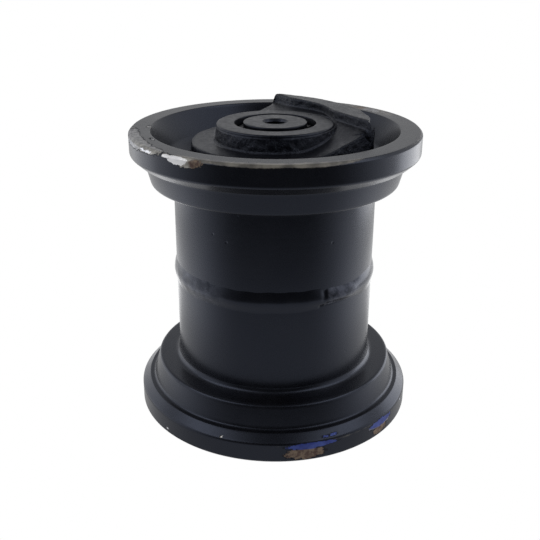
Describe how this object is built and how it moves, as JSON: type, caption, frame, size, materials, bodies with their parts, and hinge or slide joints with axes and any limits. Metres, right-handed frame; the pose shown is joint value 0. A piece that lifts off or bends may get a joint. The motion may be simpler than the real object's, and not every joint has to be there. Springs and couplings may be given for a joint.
{
  "type": "track roller",
  "caption": "Flanged track roller: welded shell with two treads and a narrow barrel, turning on a fixed axle with forged end collars that carry raised stop lips.",
  "frame": {"origin": "on the axle, half way between the two rims", "axes": "+Z along the axle; +X from the axle towards the raised lips of both collars; +Y completes the right-handed frame"},
  "size_m": [0.16, 0.16, 0.178],
  "materials": {
    "shell_paint": "satin black paint on turned and forged steel, scuffed to bare metal on the rims",
    "weld_paint": "smooth weld bead under satin black paint",
    "collar_paint": "satin black paint on a rough steel forging, boss face turned",
    "axle_paint": "satin black paint on the turned end faces, ground steel inside",
    "bush_bronze": "bronze running face on a steel backed bush",
    "spring_steel": "blackened spring steel",
    "seal_iron": "lapped hard iron",
    "seal_rubber": "matt black nitrile rubber"
  },
  "bodies": {
    "axle": {"shaft": "axle_paint", "oil_plug": "spring_steel", "end_collar_upper": "collar_paint", "end_collar_lower": "collar_paint", "retaining_ring_upper": "spring_steel", "retaining_ring_lower": "spring_steel", "lock_pin_upper": "spring_steel", "lock_pin_lower": "spring_steel", "shaft_seal_upper": "seal_rubber", "shaft_seal_lower": "seal_rubber", "fixed_seal_ring_upper": "seal_iron", "fixed_seal_ring_lower": "seal_iron", "fixed_seal_cushion_upper": "seal_rubber", "fixed_seal_cushion_lower": "seal_rubber"},
    "roller": {"shell_half_upper": "shell_paint", "shell_half_lower": "shell_paint", "centre_weld": "weld_paint", "flanged_bush_upper": "bush_bronze", "flanged_bush_lower": "bush_bronze", "turning_seal_ring_upper": "seal_iron", "turning_seal_ring_lower": "seal_iron", "turning_seal_cushion_upper": "seal_rubber", "turning_seal_cushion_lower": "seal_rubber"}
  },
  "joints": [
    {"name": "roller_spin", "type": "hinge", "parent": "axle", "child": "roller", "pos_m": [0, 0, 0], "axis": [0, 0, 1], "continuous": true}
  ]
}
